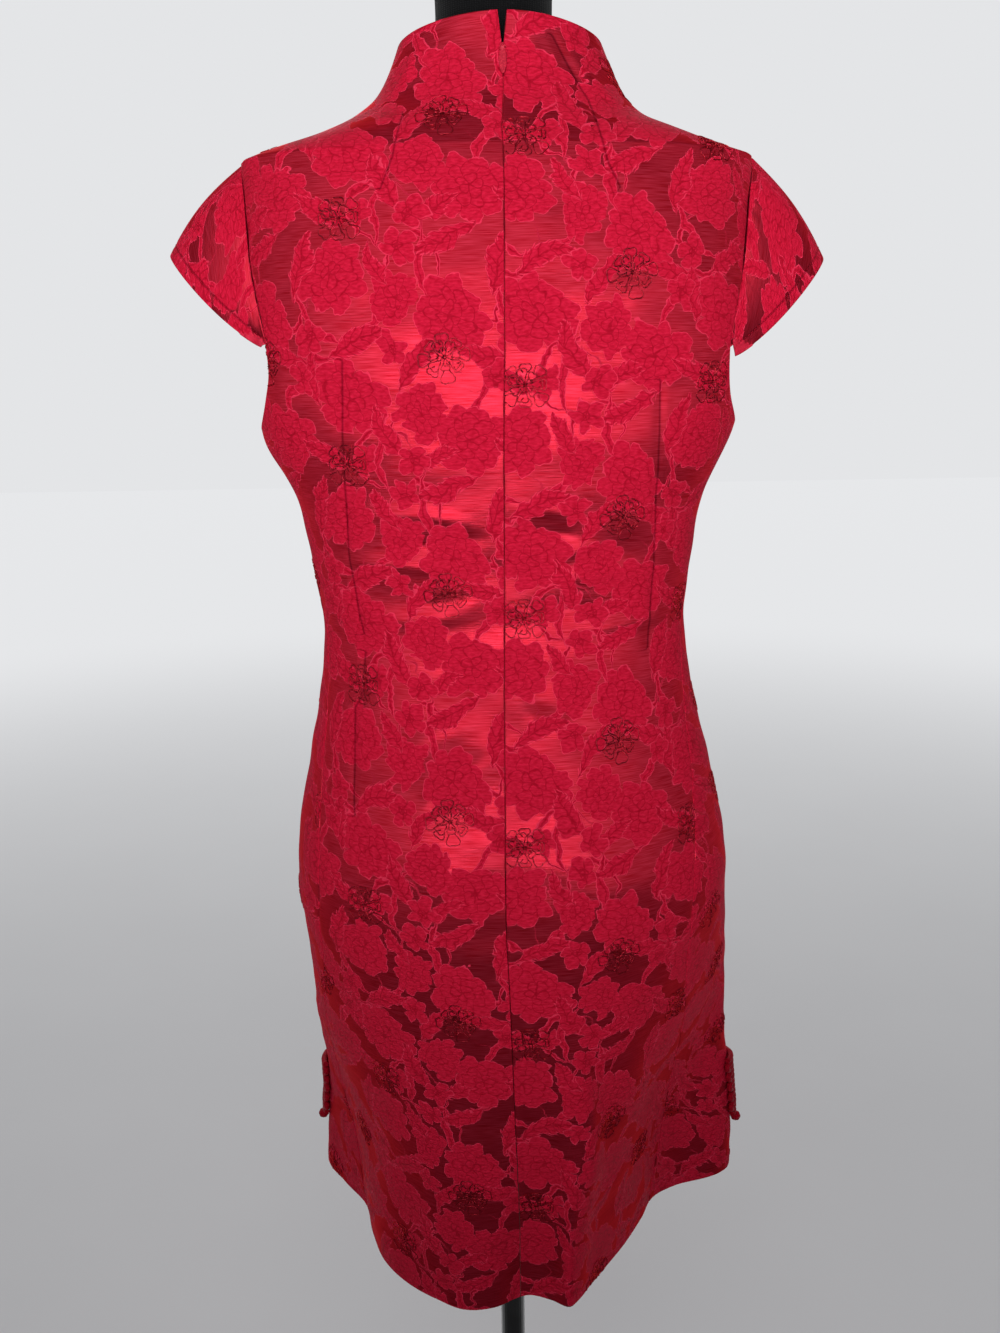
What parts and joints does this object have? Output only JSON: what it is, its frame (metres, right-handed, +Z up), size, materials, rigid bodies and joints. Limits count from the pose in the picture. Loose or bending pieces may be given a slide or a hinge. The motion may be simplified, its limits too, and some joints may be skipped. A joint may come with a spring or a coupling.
{
  "type": "cheongsam dress on dress form",
  "caption": "Short fitted cheongsam with a funnel neck, cap sleeves, back zip and side slits, worn by a limbless dress form on a pole with a round base.",
  "frame": {"origin": "centre of the bounding box's underside, on the floor under the stand's base", "axes": "+Z up; the dress faces -Y and its zipped back is at +Y; the wearer's left is +X"},
  "size_m": [0.483, 0.36, 1.5],
  "materials": {
    "damask": "satin",
    "cord": "satin",
    "zip": "satin",
    "jersey": "matte",
    "stand": "satin"
  },
  "bodies": {
    "dress_on_form": {"front_panel": "damask", "back_panel_left": "damask", "back_panel_right": "damask", "cap_sleeve_left": "damask", "cap_sleeve_right": "damask", "frog_cord_left": "cord", "frog_cord_right": "cord", "frog_knot_left": "cord", "frog_knot_right": "cord", "zip_chain": "zip", "zip_slider": "zip", "form_torso": "jersey", "stand_pole": "stand", "stand_base": "stand"},
    "zip_tab": {"zip_pull": "zip"}
  },
  "joints": [
    {"name": "zip_pull_hinge", "type": "hinge", "parent": "dress_on_form", "child": "zip_tab", "pos_m": [-0.00552, 0.06758, 1.43307], "axis": [1, 0, 0], "range_deg": [0, 150]}
  ]
}
